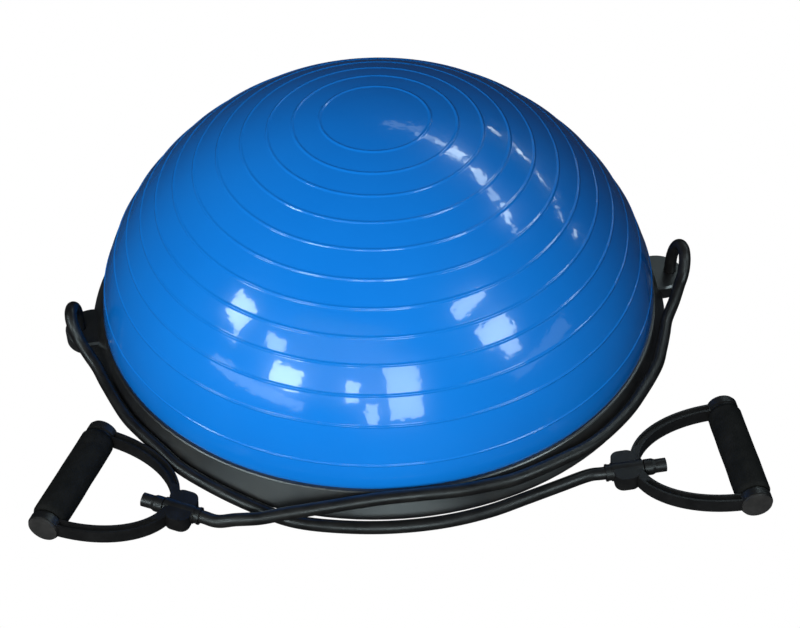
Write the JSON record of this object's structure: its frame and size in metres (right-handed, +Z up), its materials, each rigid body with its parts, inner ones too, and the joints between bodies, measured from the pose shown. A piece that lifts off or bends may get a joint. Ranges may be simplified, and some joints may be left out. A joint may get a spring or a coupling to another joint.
{
  "type": "balance dome trainer",
  "caption": "Inflated half dome on a round platform, with side lugs, resistance tubes and D-shaped foam-grip handles that lift and spin.",
  "frame": {"origin": "centre of the platform's underside, on the floor", "axes": "+Z up through the dome's crown, +X towards the right lug and the right handle, -Y towards the side where the handles lie"},
  "size_m": [0.6945, 0.6297, 0.251],
  "materials": {
    "platform_plastic": "gloss",
    "cover_plastic": "matte",
    "screw_steel": "satin",
    "foot_rubber": "matte",
    "dome_vinyl": "gloss",
    "valve_vinyl": "satin",
    "plug_plastic": "satin",
    "tube_rubber": "satin",
    "handle_plastic": "satin",
    "cap_plastic": "matte",
    "grip_foam": "matte"
  },
  "bodies": {
    "platform": {"base_tray": "platform_plastic", "bottom_cover": "cover_plastic", "cover_screws": "screw_steel", "feet": "foot_rubber", "centre_pad": "foot_rubber", "dome": "dome_vinyl", "seal_ring": "foot_rubber", "clamp_ring": "cover_plastic", "clamp_screws": "screw_steel", "valve_seat": "valve_vinyl", "tube_to_left_handle": "tube_rubber", "tube_to_right_handle": "tube_rubber", "left_anchor_end": "tube_rubber", "left_anchor_plug": "cap_plastic", "right_anchor_end": "tube_rubber", "right_anchor_plug": "cap_plastic"},
    "valve": {"valve_plug": "plug_plastic"},
    "left_handle": {"left_yoke": "handle_plastic", "left_front_cap": "cap_plastic", "left_rear_cap": "cap_plastic", "left_tube_end": "tube_rubber", "left_tube_plug": "cap_plastic"},
    "left_grip": {"left_grip_core": "cap_plastic", "left_grip_foam": "grip_foam"},
    "right_handle": {"right_yoke": "handle_plastic", "right_front_cap": "cap_plastic", "right_rear_cap": "cap_plastic", "right_tube_end": "tube_rubber", "right_tube_plug": "cap_plastic"},
    "right_grip": {"right_grip_core": "cap_plastic", "right_grip_foam": "grip_foam"}
  },
  "joints": [
    {"name": "valve_pull", "type": "slide", "parent": "platform", "child": "valve", "axis": [0, 0.9247, 0.3808], "range_m": [0, 0.03]},
    {"name": "left_handle_lift", "type": "hinge", "parent": "platform", "child": "left_handle", "pos_m": [-0.13947, -0.30996, 0.00667], "axis": [0.3371, 0.9415, 0], "range_deg": [0, 60], "deforming": ["tube_to_left_handle"]},
    {"name": "left_grip_spin", "type": "hinge", "parent": "left_handle", "child": "left_grip", "pos_m": [-0.29448, -0.25446, 0.01746], "axis": [-0.3371, -0.9415, 0], "continuous": true},
    {"name": "right_handle_lift", "type": "hinge", "parent": "platform", "child": "right_handle", "pos_m": [0.17816, -0.25996, 0.00667], "axis": [0.0958, -0.9954, 0], "range_deg": [0, 60], "deforming": ["tube_to_right_handle"]},
    {"name": "right_grip_spin", "type": "hinge", "parent": "right_handle", "child": "right_grip", "pos_m": [0.34205, -0.24418, 0.01746], "axis": [-0.0958, 0.9954, 0], "continuous": true}
  ]
}
